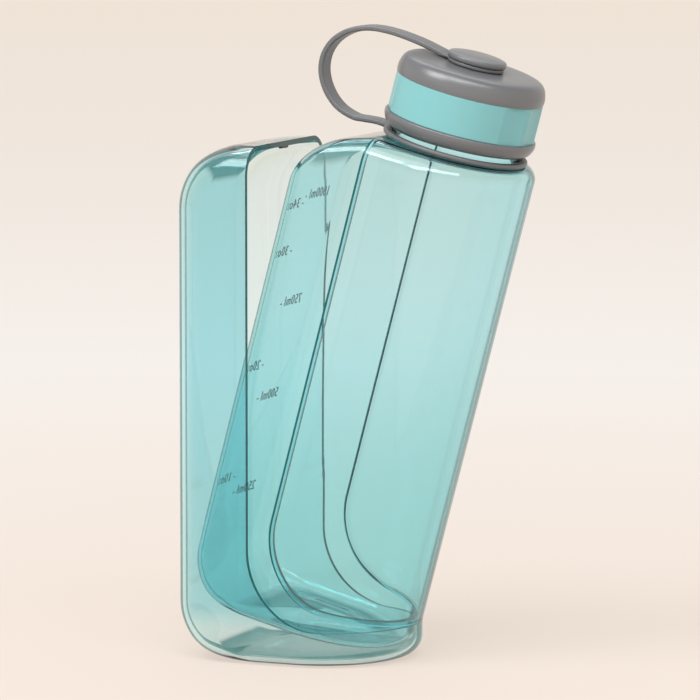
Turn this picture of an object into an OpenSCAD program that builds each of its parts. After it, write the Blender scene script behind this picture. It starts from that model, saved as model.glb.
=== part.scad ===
// Travel water bottle for pets with a fold-out drinking bowl.
// Millimetres, +Z up. The bowl's foot rests on z = 0, centred on x = 0 and y = 0.
// The toe points to +X and the bowl's tall back wall stands on the -X side.
// The bottle is drawn upright inside the bowl, then leaned forward about the toe.

/* [Bowl] */
// Width of the bowl, side to side
bowl_w = 82; // [70:1:100]
// Length of the foot from the back wall to the toe
foot_len = 94; // [84:1:120]
// Height of the bowl's back shell
bowl_h = 213.5; // [180:0.5:240]
// Depth of the back shell from its back to the rim
shell_depth = 35.5; // [28:0.5:45]
// Height of the rim around the foot
foot_h = 14.4; // [10:0.2:20]
// Radius where the upright rim turns into the foot's rim
rim_r = 33; // [20:1:45]
// Wall thickness of the bowl
bowl_wall = 2.2; // [1.6:0.1:3]
// Radius of the upright back corners
corner_r = 16; // [10:0.5:20]
// Radius of the heel under the back wall
heel_r = 24; // [18:1:30]
// Radius over the top of the back wall
crown_r = 27; // [18:1:32]
// Radius along the sides of the top
crown_side_r = 12; // [6:0.5:16]
// Radius around the bottom edge of the foot
sole_r = 8.5; // [6:0.5:12]

/* [Bottle] */
// Angle the bottle leans forward from upright
lean = 15; // [5:0.5:25]
// Gap between the bowl's inner wall and the bottle
fit_gap = 0.6; // [0.4:0.1:1.2]
// Gap between the bowl's rim and the flush front of the bottle
lip_gap = 0.4; // [0.3:0.1:1]
// Wall thickness of the bottle
bottle_wall = 1.5; // [1:0.1:2.5]
// Gap that the bottle's top leaves under the bowl's top edge as it swings
top_gap = 1.1; // [0.5:0.1:2]
// Rounding over the back of the shoulder
back_shoulder_r = 18; // [10:0.5:22]
// Rounding along the sides of the recessed back
side_shoulder_r = 7.5; // [4:0.5:10]
// Rounding around the flush front
front_shoulder_r = 5.5; // [3:0.5:6]
// Rise of the hollow under the base
base_rise = 4; // [0:0.5:6]
// Distance of the neck's axis ahead of the centre of the rounded front
neck_ahead = 6.2; // [0:0.1:8]
// Outer radius of the neck
neck_r = 27; // [20:0.5:28]
// Wall of the neck
neck_wall = 1.8; // [1.2:0.1:3]
// Height of the neck above the shoulder
neck_h = 24.2; // [18:0.1:30]

/* [Cap] */
// Gap between the neck and the cap's skirt, where the thread runs
thread_gap = 0.9; // [0.6:0.1:1.5]
// Wall of the cap's band
band_wall = 2.9; // [2:0.1:4]
// Height of the band
band_h = 15.8; // [12:0.1:20]
// Depth of the grip hollows at the band's front and back
flute_d = 0.9; // [0.3:0.1:1.2]
// Radius that the grip hollows are cut with
flute_r = 60; // [30:1:120]
// Angle between the grip hollows
flute_step = 27; // [24:1:36]
// Wall of the skirt behind the collar
skirt_wall = 0.6; // [0.5:0.1:1.5]
// Height of the collar below the band
collar_h = 5.9; // [4:0.1:7]
// How far the collar bulges past the band
collar_proud = 0.9; // [0.4:0.1:1.5]
// Thickness of the plate over the neck
plate_h = 2.6; // [1.5:0.1:3.4]
// Gap between the neck's bore and the plug
plug_gap = 0.5; // [0.35:0.05:1]
// Depth of the plug below the plate
plug_h = 9.6; // [5:0.1:14]
// Wall of the plug
plug_wall = 1.5; // [1:0.1:2.5]
// Thickness of the sealing ring
seal_h = 1.8; // [1:0.1:3]
// Height of the cover above the band
cover_h = 8.9; // [8:0.1:12]
// How far the cover stands past the band
cover_proud = 0.2; // [0:0.1:0.8]
// Wall of the cover
cover_wall = 2.1; // [1.2:0.1:3]
// Radius of the button on top
button_r = 12.2; // [9:0.1:16]
// Height of the button
button_h = 3.3; // [2.2:0.1:5]
// Radius of the button's stem
stem_r = 5; // [3:0.1:7]

/* [Tether] */
// Width of the strap
strap_w = 9; // [6:0.5:12]
// Thickness of the strap
strap_t = 2.3; // [1.5:0.1:3]
// Width of the ring around the neck, measured outwards
ring_w = 3.7; // [2.5:0.1:5]
// Thickness of the ring
ring_h = 2.2; // [1.5:0.1:3.5]
// Radius of the eye under the button
eye_r = 11.8; // [9:0.1:15]
// Thickness of the eye
eye_h = 1.6; // [1:0.1:2.5]
// Reach of the stubs that the strap grows from
stub_l = 4.3; // [3:0.1:8]
// Gap between moving faces of the cap and the tether
turn_gap = 0.2; // [0.1:0.05:0.5]

/* [Hidden] */
back_x = -foot_len / 2;
toe_x = foot_len / 2;
rim_x = back_x + shell_depth;
foot_cx = toe_x - bowl_w / 2;
turn_x = rim_x + rim_r;
turn_z = foot_h + rim_r;
recess = bowl_wall + fit_gap;
step_r = rim_r - lip_gap;
step_x = turn_x - step_r;
top_arc_r = norm([toe_x - rim_x, bowl_h - bowl_wall - foot_h]) - top_gap;
bottle_top = foot_h + sqrt(pow(top_arc_r, 2) - pow(toe_x - step_x, 2));
neck_x = foot_cx + neck_ahead;
bore_r = neck_r - neck_wall;
lip_z = bottle_top + neck_h;
touch = 0.1;
skirt_r = neck_r + thread_gap;
foot_r = skirt_r + skirt_wall;
band_r = skirt_r + band_wall;
band_z1 = lip_z + touch + seal_h;
band_z0 = band_z1 - band_h;
collar_z = band_z0 - collar_h;
collar_r = band_r + collar_proud;
plate_z = band_z1 + plate_h;
plug_r = bore_r - plug_gap;
cover_r = band_r + cover_proud;
cover_in = cover_r - cover_wall;
cover_top = band_z1 + cover_h;
eye_z = cover_top + turn_gap;
button_z = eye_z + eye_h + turn_gap;
ring_z = bottle_top + touch;
ring_in = neck_r + turn_gap;
ring_r = ring_in + ring_w;
eye_end = neck_x - eye_r - stub_l;
ring_end = neck_x - ring_r - stub_l;
seam = 0.05;
step_slant = 0.4;
pieces_side = 12;
pieces_corner = 7;
pieces_back = 6;
pieces_front = 24;
row_len = 2 * pieces_side + 2 * pieces_corner + pieces_back + 1;
front_len = pieces_front - 1;
ring_a = 14;
ring_b = 6;
ring_c = 6;
ring_d = 3;
half_len = ring_a + ring_b + ring_c + ring_d + 2;
ring_len = 2 * half_len - 2;
strap_parts = 3;
round_n = 128;

// ---- outlines shared by the bowl and the bottle's recessed back ----

// Back edge of the shell at height z, set in by off
function back_at(z, off) =
    let (crown_z = bowl_h - crown_r, h = heel_r - off, c = crown_r - off)
    z < heel_r ? back_x + heel_r - sqrt(max(0, h * h - pow(heel_r - z, 2)))
    : z > crown_z ? back_x + crown_r - sqrt(max(0, c * c - pow(z - crown_z, 2)))
    : back_x + off;

// Half width of the shell at height z, set in by off
function half_at(z, off) =
    let (side_z = bowl_h - crown_side_r, s = sole_r - off, t = crown_side_r - off)
    z < sole_r ? bowl_w / 2 - sole_r + sqrt(max(0, s * s - pow(sole_r - z, 2)))
    : z > side_z ? bowl_w / 2 - crown_side_r + sqrt(max(0, t * t - pow(z - side_z, 2)))
    : bowl_w / 2 - off;

// Half width at x, where the front is a half circle about foot_cx
function edge_y(x, hw) = x <= foot_cx ? hw : sqrt(max(0, hw * hw - pow(x - foot_cx, 2)));

// ---- bowl ----

// Heights of the rows, from the sole up to the crown
function bowl_rows(off) = concat(
    [for (a = [0, 20, 40, 60, 90]) sole_r - (sole_r - off) * cos(a)],
    [(sole_r + foot_h) / 2],
    [for (b = [0 : 10 : 90]) turn_z - rim_r * cos(b)],
    [for (c = [0, 15, 30, 45, 57, 68, 78, 85, 90]) bowl_h - crown_r + (crown_r - off) * sin(c)]);

foot_rows = 7;
rim_rows = 10;
row_count = len(bowl_rows(0));

// Where the row ends at the rim
function row_end(i, z, off) =
    i < foot_rows ? foot_cx + (turn_x - foot_cx) * half_at(z, off) / (bowl_w / 2 - off)
    : i < foot_rows - 1 + rim_rows ? turn_x - rim_r * sin((i - foot_rows + 1) * 10)
    : rim_x;

// One row, from the near rim around the back to the far rim
function bowl_row(z, xe, off) =
    let (hw = half_at(z, off), xb = back_at(z, off), rc = min(corner_r - off, xe - xb - 0.5),
         xc = xb + rc, hc = hw - rc, ns = pieces_side, nc = pieces_corner, nb = pieces_back)
    concat(
        [for (k = [0 : ns]) let (x = xe + (xc - xe) * k / ns) [x, -edge_y(x, hw), z]],
        [for (k = [1 : nc]) let (a = 90 * k / nc) [xc - rc * sin(a), -hc - rc * cos(a), z]],
        [for (k = [1 : nb]) [xb, -hc + 2 * hc * k / nb, z]],
        [for (k = [1 : nc]) let (a = 90 * k / nc) [xc - rc * cos(a), hc + rc * sin(a), z]],
        [for (k = [1 : ns]) let (x = xc + (xe - xc) * k / ns) [x, edge_y(x, hw), z]]);

// The rest of a foot row, around the toe from the far side to the near side
function toe_row(z, off) =
    let (hw = half_at(z, off), a0 = acos((turn_x - foot_cx) / (bowl_w / 2 - off)))
    [for (k = [1 : front_len]) let (a = a0 - 2 * a0 * k / pieces_front)
        [foot_cx + hw * cos(a), hw * sin(a), z]];

function bowl_skin(off) =
    let (rows = bowl_rows(off))
    concat(
        [for (i = [0 : row_count - 1]) each bowl_row(rows[i], row_end(i, rows[i], off), off)],
        [for (i = [0 : foot_rows - 1]) each toe_row(rows[i], off)],
        [[foot_cx, 0, off], [(back_x + crown_r + rim_x) / 2, 0, bowl_h - off]]);

skin_len = row_count * row_len + foot_rows * front_len + 2;

// Index of point j of row i on skin s (0 outside, 1 inside)
function skin_at(s, i, j) =
    let (n = row_len + front_len, m = j % n)
    s * skin_len + (m < row_len ? i * row_len + m : row_count * row_len + i * front_len + m - row_len);

// Two triangles for a four-sided patch, turned over when flip is true
function patch(a, b, c, d, flip) = flip ? [[a, c, b], [a, d, c]] : [[a, b, c], [a, c, d]];

function skin_faces(s) =
    let (n = row_len + front_len, flip = s == 1, mid = s * skin_len + skin_len - 2)
    concat(
        [for (i = [0 : row_count - 2]) for (j = [0 : (i < foot_rows - 1 ? n : row_len - 1) - 1])
            each patch(skin_at(s, i, j), skin_at(s, i, j + 1), skin_at(s, i + 1, j + 1),
                       skin_at(s, i + 1, j), flip)],
        [for (j = [0 : n - 1]) let (a = skin_at(s, 0, j), b = skin_at(s, 0, j + 1))
            flip ? [mid, a, b] : [mid, b, a]],
        [for (j = [0 : row_len - 1])
            let (a = skin_at(s, row_count - 1, j), b = skin_at(s, row_count - 1, (j + 1) % row_len))
            flip ? [mid + 1, b, a] : [mid + 1, a, b]]);

// The rim's edge, joining the two skins
function rim_faces() =
    let (n = row_len + front_len, f = foot_rows - 1, t = row_count - 1, e = row_len - 1)
    concat(
        [for (i = [f : t - 1]) each patch(skin_at(0, i, 0), skin_at(0, i + 1, 0),
            skin_at(1, i + 1, 0), skin_at(1, i, 0), false)],
        [for (i = [f : t - 1]) each patch(skin_at(0, i, e), skin_at(0, i + 1, e),
            skin_at(1, i + 1, e), skin_at(1, i, e), true)],
        [for (j = [e : n - 1]) each patch(skin_at(0, f, j), skin_at(0, f, j + 1),
            skin_at(1, f, j + 1), skin_at(1, f, j), false)],
        patch(skin_at(0, t, 0), skin_at(0, t, e), skin_at(1, t, e), skin_at(1, t, 0), false));

module bowl() {
    color("lightblue")
    polyhedron(points = concat(bowl_skin(0), bowl_skin(bowl_wall)),
               faces = concat(skin_faces(0), skin_faces(1), rim_faces()));
}

// ---- bottle ----

// Point at distance s along the near side, starting from the toe
function side_point(s, hw) =
    let (quarter = hw * PI / 2)
    s < quarter ? [foot_cx + hw * cos(s / hw * 180 / PI), -hw * sin(s / hw * 180 / PI)]
    : [foot_cx - (s - quarter), -hw];

// Distance along the side to the place where x is reached
function side_len(x, hw) =
    x > foot_cx ? hw * acos((x - foot_cx) / hw) * PI / 180 : hw * PI / 2 + foot_cx - x;

// Near half of a ring as [x, y, zone]: zone 0 front, 1 recessed side, 1 to 2 corner, 2 back
function half_ring(front, rear, xb, rc, xs) =
    let (xc = xb + rc, hc = rear - rc, la = side_len(xs + step_slant, front),
         lb = side_len(xs, rear), lc = side_len(xc, rear))
    concat(
        [for (k = [0 : ring_a]) concat(side_point(la * k / ring_a, front), 0)],
        [for (k = [0 : ring_b]) concat(side_point(lb + (lc - lb) * k / ring_b, rear), 1)],
        [for (k = [1 : ring_c]) let (a = 90 * k / ring_c)
            [xc - rc * sin(a), -hc - rc * cos(a), 1 + k / ring_c]],
        [for (k = [1 : ring_d]) [xb, -hc * (1 - k / ring_d), 2]]);

function full_ring(half) = concat(half,
    [for (i = [half_len - 2 : -1 : 1]) [half[i][0], -half[i][1], half[i][2]]]);

// A ring at one height, with the recessed zones raised by lift
function flat_ring(half, z, lift = 0) =
    [for (p = full_ring(half)) [p[0], p[1], p[2] < 1 ? z : z + lift]];

// Height of the bottle's top at x: level in front, swung about the toe behind
function top_at(x, off) =
    min(bottle_top, foot_h + sqrt(pow(top_arc_r, 2) - pow(toe_x - x, 2))) - off;

// Rounding radius in a zone
function shoulder_at(zone, off) =
    (zone < 1 ? front_shoulder_r : side_shoulder_r + (back_shoulder_r - side_shoulder_r) * (zone - 1)) - off;

function shoulder_ring(a, off) =
    let (f = (front_shoulder_r - off) * (1 - cos(a)), s = (side_shoulder_r - off) * (1 - cos(a)),
         b = (back_shoulder_r - off) * (1 - cos(a)), rc = corner_r - recess - off - 0.6 * s)
    [for (p = full_ring(half_ring(bowl_w / 2 - off - f, bowl_w / 2 - recess - off - s,
                                  back_x + recess + off + b, rc, step_x + off)))
        [p[0], p[1], top_at(p[0], off) - shoulder_at(p[2], off) * (1 - sin(a))]];

// Circle about the neck, with each point in line with the ring it grows from
function neck_ring(radius, off) =
    [for (p = shoulder_ring(90, off)) let (a = atan2(p[1], p[0] - neck_x), x = neck_x + radius * cos(a))
        [x, radius * sin(a), top_at(x, off)]];

function at_height(ring, z) = [for (p = ring) [p[0], p[1], z]];

// The hollow under the base, drawn in from the lowest ring
function base_ring(ring, k, z) = [for (p = ring) [base_x + (p[0] - base_x) * k, p[1] * k, z]];

base_x = (back_x + heel_r + toe_x - sole_r) / 2;

// All rings of one skin from the base up to the neck
function bottle_rings(off) =
    let (o = recess + off, z0 = o, rc = corner_r - o, zl = turn_z - step_r + off,
         low = flat_ring(half_ring(half_at(z0, o), half_at(z0, o), back_at(z0, o), rc, turn_x), z0))
    concat(
        [base_ring(low, 0.62, z0 + base_rise * 0.85), base_ring(low, 0.78, z0 + base_rise * 0.4),
         base_ring(low, 0.9, z0), low],
        [for (a = [25, 50, 70, 90]) let (z = sole_r - (sole_r - o) * cos(a))
            flat_ring(half_ring(half_at(z, o), half_at(z, o), back_at(z, o), rc, turn_x), z)],
        [for (z = [(sole_r + zl) / 2, zl])
            flat_ring(half_ring(half_at(z, o), half_at(z, o), back_at(z, o), rc, turn_x), z)],
        [flat_ring(half_ring(bowl_w / 2 - off, half_at(zl, o), back_at(zl + 0.25, o), rc, turn_x), zl, 0.25)],
        [for (b = [10 : 10 : 90]) let (z = turn_z - (step_r - off) * cos(b))
            flat_ring(half_ring(bowl_w / 2 - off, half_at(z, o), back_at(z, o), rc,
                                turn_x - (step_r - off) * sin(b)), z)],
        [for (a = [0, 18, 36, 54, 72, 90]) shoulder_ring(a, off)]);

function reversed(list) = [for (i = [len(list) - 1 : -1 : 0]) list[i]];

module bottle_body() {
    outer = concat(bottle_rings(0), [neck_ring(neck_r, 0)]);
    lip = [at_height(neck_ring(neck_r, 0), lip_z - 0.7), at_height(neck_ring(neck_r - 0.6, 0), lip_z)];
    inner = concat([at_height(neck_ring(bore_r, bottle_wall), lip_z), neck_ring(bore_r, bottle_wall)],
                   reversed(bottle_rings(bottle_wall)));
    rings = concat(outer, lip, inner);
    count = len(rings);
    last = count * ring_len;
    z_in = recess + bottle_wall + base_rise;
    polyhedron(
        points = concat([for (r = rings) each r], [[base_x, 0, recess + base_rise], [base_x, 0, z_in]]),
        faces = concat(
            [for (i = [0 : count - 2]) for (j = [0 : ring_len - 1]) let (k = (j + 1) % ring_len)
                each patch(i * ring_len + j, i * ring_len + k, (i + 1) * ring_len + k,
                           (i + 1) * ring_len + j, false)],
            [for (j = [0 : ring_len - 1]) [last, (j + 1) % ring_len, j]],
            [for (j = [0 : ring_len - 1])
                [last + 1, last - ring_len + j, last - ring_len + (j + 1) % ring_len]]));
}

// Leans what is drawn upright forward about the toe
module leaned() {
    translate([toe_x, 0, foot_h])
    rotate([0, lean, 0])
    translate([-toe_x, 0, -foot_h])
    children();
}

module bottle() {
    color("paleturquoise")
    leaned()
    bottle_body();
}

// ---- cap ----

// A turned piece about the neck's axis
module turned(outline) {
    leaned()
    translate([neck_x, 0, 0])
    rotate_extrude($fn = round_n)
    polygon(outline);
}

// Shallow upright hollows for the fingers, three at the front and three at the back
module grip_hollows() {
    leaned()
    translate([neck_x, 0, band_z0 - 1])
    for (end = [0, 180], k = [-1, 0, 1])
        rotate([0, 0, end + k * flute_step])
        translate([band_r - flute_d + flute_r, 0, 0])
        cylinder(r = flute_r, h = band_h + 2, $fn = round_n);
}

module cap_shell() {
    plate_r = cover_in - touch;
    color("turquoise")
    difference() {
        turned([[0, plate_z], [plate_r - 0.4, plate_z], [plate_r, plate_z - 0.4], [plate_r, band_z1],
                [band_r - 0.3, band_z1], [band_r, band_z1 - 0.3], [band_r, band_z0 + 0.3],
                [band_r - 0.3, band_z0], [foot_r, band_z0], [foot_r, collar_z + 0.3],
                [skirt_r, collar_z + 0.3], [skirt_r, band_z1], [plug_r, band_z1],
                [plug_r, band_z1 - plug_h + 0.8], [plug_r - 0.6, band_z1 - plug_h],
                [plug_r - plug_wall, band_z1 - plug_h], [plug_r - plug_wall, band_z1],
                [0, band_z1]]);
        grip_hollows();
    }
}

module cap_cover() {
    hole = stem_r + touch;
    under = cover_top - cover_wall;
    color("dimgray")
    turned([[cover_r - 0.2, band_z1], [cover_r, band_z1 + 1.6], [cover_r - 0.1, band_z1 + 3.2],
            [cover_r - 0.7, cover_top - 3.5], [cover_r - 2, cover_top - 1.6],
            [cover_r - 4, cover_top - 0.5], [cover_r - 7, cover_top - 0.1], [cover_r - 10, cover_top],
            [hole, cover_top], [hole, under], [cover_in - 5.4, under],
            [cover_in - 2.6, under - 0.4], [cover_in - 1.1, under - 1.3], [cover_in - 0.3, under - 2.5],
            [cover_in, under - 3.3], [cover_in, band_z1]]);
}

module cap_collar() {
    grip = foot_r + seam;
    h = collar_h;
    color("dimgray")
    turned([[grip, collar_z], [foot_r + 0.6, collar_z], [foot_r + 1.7, collar_z + 0.14 * h],
            [collar_r - 0.6, collar_z + 0.39 * h], [collar_r - 0.1, collar_z + 0.63 * h],
            [collar_r, collar_z + 0.78 * h], [collar_r - 0.1, collar_z + 0.93 * h],
            [collar_r - 0.5, band_z0], [grip, band_z0]]);
}

module cap_seal() {
    low = lip_z + touch;
    color("white")
    turned([[plug_r + touch, low], [skirt_r - 0.2, low], [skirt_r - 0.2, band_z1],
            [plug_r + touch, band_z1]]);
}

module cap_button() {
    color("dimgray")
    turned([[0, plate_z], [stem_r, plate_z], [stem_r, button_z], [button_r - 0.4, button_z],
            [button_r, button_z + 0.4], [button_r, button_z + button_h - 1.6],
            [button_r - 0.8, button_z + button_h - 0.9], [button_r - 4, button_z + button_h - 0.3],
            [button_r - 8, button_z + button_h - 0.05], [0, button_z + button_h]]);
}

// ---- tether ----

// A flat stub of the tether, from its end to the piece it grows from
module stub(end, into, z, h) {
    translate([end, -strap_w / 2, z])
    cube([into - end, strap_w, h]);
}

module tether_eye() {
    color("dimgray")
    leaned()
    difference() {
        union() {
            translate([neck_x, 0, eye_z])
            cylinder(r = eye_r, h = eye_h, $fn = round_n);
            stub(eye_end, neck_x, eye_z, eye_h);
        }
        translate([neck_x, 0, eye_z - 1])
        cylinder(r = stem_r + 2 * turn_gap, h = eye_h + 2, $fn = round_n);
    }
}

module tether_ring() {
    edge = ring_h / 4;
    color("dimgray")
    leaned()
    difference() {
        union() {
            translate([neck_x, 0, ring_z])
            rotate_extrude($fn = round_n)
            polygon([[ring_in, 0], [ring_r - edge, 0], [ring_r, edge], [ring_r, ring_h - edge],
                     [ring_r - edge, ring_h], [ring_in, ring_h]]);
            stub(ring_end, neck_x - ring_in - ring_w / 2, ring_z, ring_h);
        }
        translate([neck_x, 0, ring_z - 1])
        cylinder(r = ring_in, h = ring_h + 2, $fn = round_n);
    }
}

// Middle line of the strap's loop, from the eye to the ring, as distances behind the neck's
// axis and heights over the eye or the ring
loop_top = [[26, 3], [38, 3.5], [48, 2.3], [56.2, -1.3], [61.8, -6.7], [64.4, -12.9]];
loop_low = [[64.3, 15.9], [62, 10.3], [57.8, 5.3], [52.2, 1.7], [45.4, 0.1], [40.4, 0.6]];
strap_line = concat([[eye_end - seam, eye_z + strap_t / 2 + 0.2]],
                    [for (p = loop_top) [neck_x - p[0], eye_z + p[1]]],
                    [for (p = loop_low) [neck_x - p[0], ring_z + p[1]]],
                    [[ring_end - seam, ring_z + ring_h / 2]]);

// Smooth point between p1 and p2
function curve_point(p0, p1, p2, p3, t) =
    0.5 * (2 * p1 + (p2 - p0) * t + (2 * p0 - 5 * p1 + 4 * p2 - p3) * t * t
           + (3 * p1 - p0 - 3 * p2 + p3) * t * t * t);

function strap_path() =
    let (n = len(strap_line), p = strap_line)
    concat([for (i = [0 : n - 2]) for (k = [0 : strap_parts - 1])
        curve_point(i == 0 ? 2 * p[0] - p[1] : p[i - 1], p[i], p[i + 1],
                    i == n - 2 ? 2 * p[n - 1] - p[n - 2] : p[i + 2], k / strap_parts)],
        [p[n - 1]]);

module tether_strap() {
    path = strap_path();
    n = len(path);
    w = strap_w / 2;
    t = strap_t / 2;
    section = [[-w, -t + 0.6], [-w + 0.6, -t], [w - 0.6, -t], [w, -t + 0.6],
               [w, t - 0.6], [w - 0.6, t], [-w + 0.6, t], [-w, t - 0.6]];
    m = len(section);
    points = [for (i = [0 : n - 1])
        let (d = i == 0 || i == n - 1 ? [(i == 0 ? -1 : 1), 0] : path[i + 1] - path[i - 1],
             u = d / norm(d), side = [u[1], -u[0]])
        for (q = section) [path[i][0] + side[0] * q[1], q[0], path[i][1] + side[1] * q[1]]];
    color("dimgray")
    leaned()
    polyhedron(points = points, faces = concat(
        [for (i = [0 : n - 2]) for (j = [0 : m - 1]) let (k = (j + 1) % m)
            each patch(i * m + j, i * m + k, (i + 1) * m + k, (i + 1) * m + j, false)],
        [[for (j = [m - 1 : -1 : 0]) j]],
        [[for (j = [0 : m - 1]) (n - 1) * m + j]]));
}

bowl();
bottle();
cap_shell();
cap_cover();
cap_collar();
cap_seal();
cap_button();
tether_eye();
tether_strap();
tether_ring();
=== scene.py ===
"""Looks for the pet travel water bottle with its fold-out drinking bowl.

The clear shells, the tether and the turned cap pieces are modelled here as smooth meshes on the
same sizes as the part's source, and each stands for the node it names. The shapes are drawn in
millimetres and upright, and mesh() scales them and leans the bottle with its cap. Cameras, lamps
and materials are in metres.
"""

import math

import bpy
import bmesh
from mathutils import Euler, Matrix, Vector


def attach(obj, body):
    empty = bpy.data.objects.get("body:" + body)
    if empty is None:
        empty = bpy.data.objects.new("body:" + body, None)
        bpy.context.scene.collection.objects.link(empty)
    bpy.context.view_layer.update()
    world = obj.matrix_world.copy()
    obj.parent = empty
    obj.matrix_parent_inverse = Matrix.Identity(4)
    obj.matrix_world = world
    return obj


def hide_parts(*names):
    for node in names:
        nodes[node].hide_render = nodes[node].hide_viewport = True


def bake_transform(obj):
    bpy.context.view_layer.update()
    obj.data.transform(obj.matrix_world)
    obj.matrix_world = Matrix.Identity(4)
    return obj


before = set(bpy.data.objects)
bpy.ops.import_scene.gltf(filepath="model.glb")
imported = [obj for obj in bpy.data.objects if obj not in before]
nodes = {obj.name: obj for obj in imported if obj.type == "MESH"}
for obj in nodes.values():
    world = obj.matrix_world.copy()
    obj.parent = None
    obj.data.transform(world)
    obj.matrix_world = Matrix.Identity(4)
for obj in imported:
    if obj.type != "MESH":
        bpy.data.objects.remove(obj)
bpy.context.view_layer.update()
scene = bpy.context.scene
scene.view_settings.view_transform = "Standard"

# ---------------------------------------------------------------- camera, fitted to the photograph
LENS, SENSOR = 288.0, 36.0
CAMERA_AT = (0.920896, -2.116672, 0.398870)
CAMERA_DOWN, CAMERA_TURN = 6.724, 23.112

cam_data = bpy.data.cameras.new("camera")
cam_data.lens = LENS
cam_data.sensor_width = SENSOR
cam_data.clip_start = 0.05
cam_data.clip_end = 50.0
cam = bpy.data.objects.new("camera", cam_data)
cam.location = CAMERA_AT
cam.rotation_euler = Euler((math.radians(90 - CAMERA_DOWN), 0, math.radians(CAMERA_TURN)))
bpy.context.collection.objects.link(cam)
scene.camera = cam

# ---------------------------------------------------------------- sizes, as in the part's source
BOWL_W, FOOT_LEN, BOWL_H, SHELL_DEPTH, FOOT_H, RIM_R = 82.0, 94.0, 213.5, 35.5, 14.4, 33.0
BOWL_WALL, CORNER_R, HEEL_R, CROWN_R, CROWN_SIDE_R, SOLE_R = 2.2, 16.0, 24.0, 27.0, 12.0, 8.5
LEAN, FIT_GAP, LIP_GAP, WALL, TOP_GAP, BASE_RISE = 15.0, 0.6, 0.4, 1.5, 1.1, 4.0
BACK_SH, SIDE_SH, FRONT_SH, FLANK_SH = 18.0, 7.5, 5.5, 9.5
NECK_AHEAD, NECK_R, NECK_WALL, NECK_H = 6.2, 27.0, 1.8, 24.2
THREAD_GAP, BAND_WALL, BAND_H, SKIRT_WALL, COLLAR_H, COLLAR_PROUD = 0.9, 2.9, 15.8, 0.6, 5.9, 0.9
PLATE_H, SEAL_H, COVER_H, COVER_PROUD, COVER_WALL = 2.6, 1.8, 8.9, 0.2, 2.1
BUTTON_R, BUTTON_H, STEM_R = 12.2, 3.3, 5.0
STRAP_W, STRAP_T, RING_W, RING_H = 9.0, 2.3, 3.7, 2.2
EYE_R, EYE_H, STUB_L, TURN_GAP = 11.8, 1.6, 4.3, 0.2
TOUCH, SEAM = 0.1, 0.05
MM_IN_M = 1000

BACK_X, TOE_X = -FOOT_LEN / 2, FOOT_LEN / 2
RIM_X = BACK_X + SHELL_DEPTH
FOOT_CX = TOE_X - BOWL_W / 2
TURN_X, TURN_Z = RIM_X + RIM_R, FOOT_H + RIM_R
RECESS = BOWL_WALL + FIT_GAP
STEP_R = RIM_R - LIP_GAP
STEP_X = TURN_X - STEP_R
TOP_ARC_R = math.hypot(TOE_X - RIM_X, BOWL_H - BOWL_WALL - FOOT_H) - TOP_GAP
TOP_Z = FOOT_H + math.sqrt(TOP_ARC_R ** 2 - (TOE_X - STEP_X) ** 2)
NECK_X, BORE_R, LIP_Z = FOOT_CX + NECK_AHEAD, NECK_R - NECK_WALL, TOP_Z + NECK_H
SKIRT_R = NECK_R + THREAD_GAP
SKIRT_FOOT_R, BAND_R = SKIRT_R + SKIRT_WALL, SKIRT_R + BAND_WALL
BAND_Z1 = LIP_Z + TOUCH + SEAL_H
BAND_Z0 = BAND_Z1 - BAND_H
COLLAR_Z, COLLAR_R = BAND_Z0 - COLLAR_H, BAND_R + COLLAR_PROUD
PLATE_Z = BAND_Z1 + PLATE_H
COVER_R, COVER_TOP = BAND_R + COVER_PROUD, BAND_Z1 + COVER_H
COVER_IN = COVER_R - COVER_WALL
EYE_Z = COVER_TOP + TURN_GAP
BUTTON_Z = EYE_Z + EYE_H + TURN_GAP
RING_Z, RING_IN = TOP_Z + TOUCH, NECK_R + TURN_GAP
RING_R = RING_IN + RING_W
EYE_END, RING_END = NECK_X - EYE_R - STUB_L, NECK_X - RING_R - STUB_L


def root(v):
    """Square root, with a slightly negative value taken as nothing."""
    return math.sqrt(max(0.0, v))


def lin(a, b, n):
    """n equal steps from a to b, both included."""
    return [a + (b - a) * i / n for i in range(n + 1)]


def back_at(z, off):
    """x of the bowl's back wall at height z, off millimetres in from its outer skin."""
    if z < HEEL_R:
        return BACK_X + HEEL_R - root((HEEL_R - off) ** 2 - (HEEL_R - z) ** 2)
    crown_z = BOWL_H - CROWN_R
    if z > crown_z:
        return BACK_X + CROWN_R - root((CROWN_R - off) ** 2 - (z - crown_z) ** 2)
    return BACK_X + off


def half_at(z, off):
    """Half width of the bowl at height z, off millimetres in from its outer skin."""
    side_z = BOWL_H - CROWN_SIDE_R
    if z < SOLE_R:
        return BOWL_W / 2 - SOLE_R + root((SOLE_R - off) ** 2 - (SOLE_R - z) ** 2)
    if z > side_z:
        across = root((CROWN_SIDE_R - off) ** 2 - (z - side_z) ** 2)
        return BOWL_W / 2 - CROWN_SIDE_R + across
    return BOWL_W / 2 - off


def side_point(s, hw):
    """Point at distance s along the near side, starting from the toe."""
    quarter = hw * math.pi / 2
    if s < quarter:
        return FOOT_CX + hw * math.cos(s / hw), -hw * math.sin(s / hw)
    return FOOT_CX - (s - quarter), -hw


def side_len(x, hw):
    """Distance along the near side from the toe to x."""
    if x > FOOT_CX:
        return hw * math.acos(min(1.0, (x - FOOT_CX) / hw))
    return hw * math.pi / 2 + FOOT_CX - x


def lean_matrix():
    """Leans what is drawn upright forward about the toe, in metres."""
    p = Vector((TOE_X, 0, FOOT_H)) / MM_IN_M
    turn = Matrix.Rotation(math.radians(LEAN), 4, "Y")
    return Matrix.Translation(p) @ turn @ Matrix.Translation(-p)


# ---------------------------------------------------------------- mesh helpers
WELD = 1e-6


def shade(me, smooth):
    """Smooth faces, with sharp edges from the angle smooth on."""
    for p in me.polygons:
        p.use_smooth = True
    me.set_sharp_from_angle(angle=math.radians(smooth))


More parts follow.
